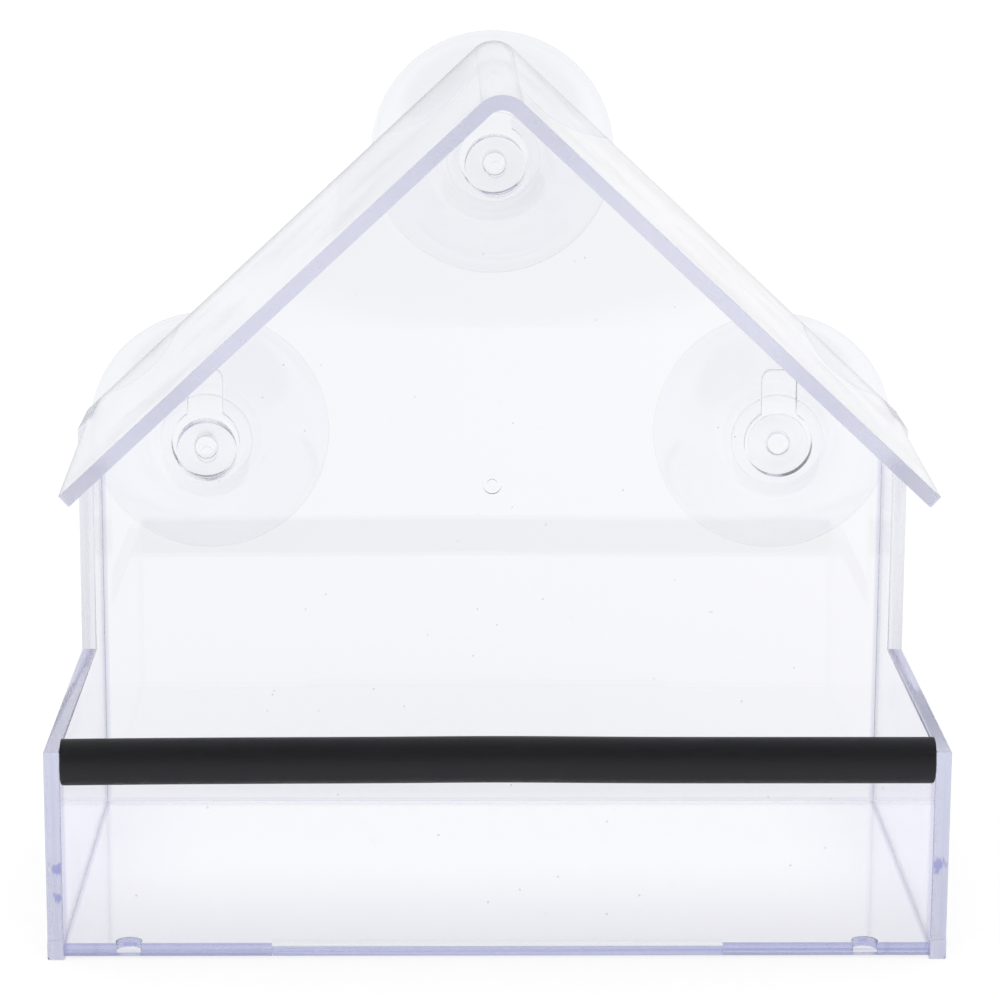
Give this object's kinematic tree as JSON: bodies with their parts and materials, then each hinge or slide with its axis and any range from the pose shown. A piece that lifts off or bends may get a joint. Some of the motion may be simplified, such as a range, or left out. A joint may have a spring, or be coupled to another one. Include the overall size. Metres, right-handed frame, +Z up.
{
  "type": "window bird feeder",
  "caption": "Clear house-shaped window bird feeder with an open seed tray, a pitched roof, a soft tube along its front edge and suction cups behind its back panel.",
  "frame": {"origin": "centre of the footprint at the level of the side walls' lower edges, midway in width and in overall depth", "axes": "+Z up, +X to the right seen from the front, +Y to the back, towards the window"},
  "size_m": [0.1512, 0.1046, 0.1459],
  "materials": {
    "clear_panel": "clear, polished",
    "clear_soft": "clear, satin",
    "black_tube": "satin"
  },
  "bodies": {
    "feeder": {"back_panel": "clear_panel", "left_side_wall": "clear_panel", "right_side_wall": "clear_panel", "tray_floor": "clear_panel", "front_panel": "clear_panel", "roof_sheet": "clear_panel", "perch_strip": "black_tube"},
    "top_cup": {"suction_cup_top": "clear_soft"},
    "left_cup": {"suction_cup_left": "clear_soft"},
    "right_cup": {"suction_cup_right": "clear_soft"}
  },
  "joints": [
    {"name": "top_cup_slide", "type": "slide", "parent": "feeder", "child": "top_cup", "axis": [0, 0, 1], "range_m": [0, 0.0106]},
    {"name": "left_cup_slide", "type": "slide", "parent": "feeder", "child": "left_cup", "axis": [0, 0, 1], "range_m": [0, 0.0106]},
    {"name": "right_cup_slide", "type": "slide", "parent": "feeder", "child": "right_cup", "axis": [0, 0, 1], "range_m": [0, 0.0106]}
  ]
}
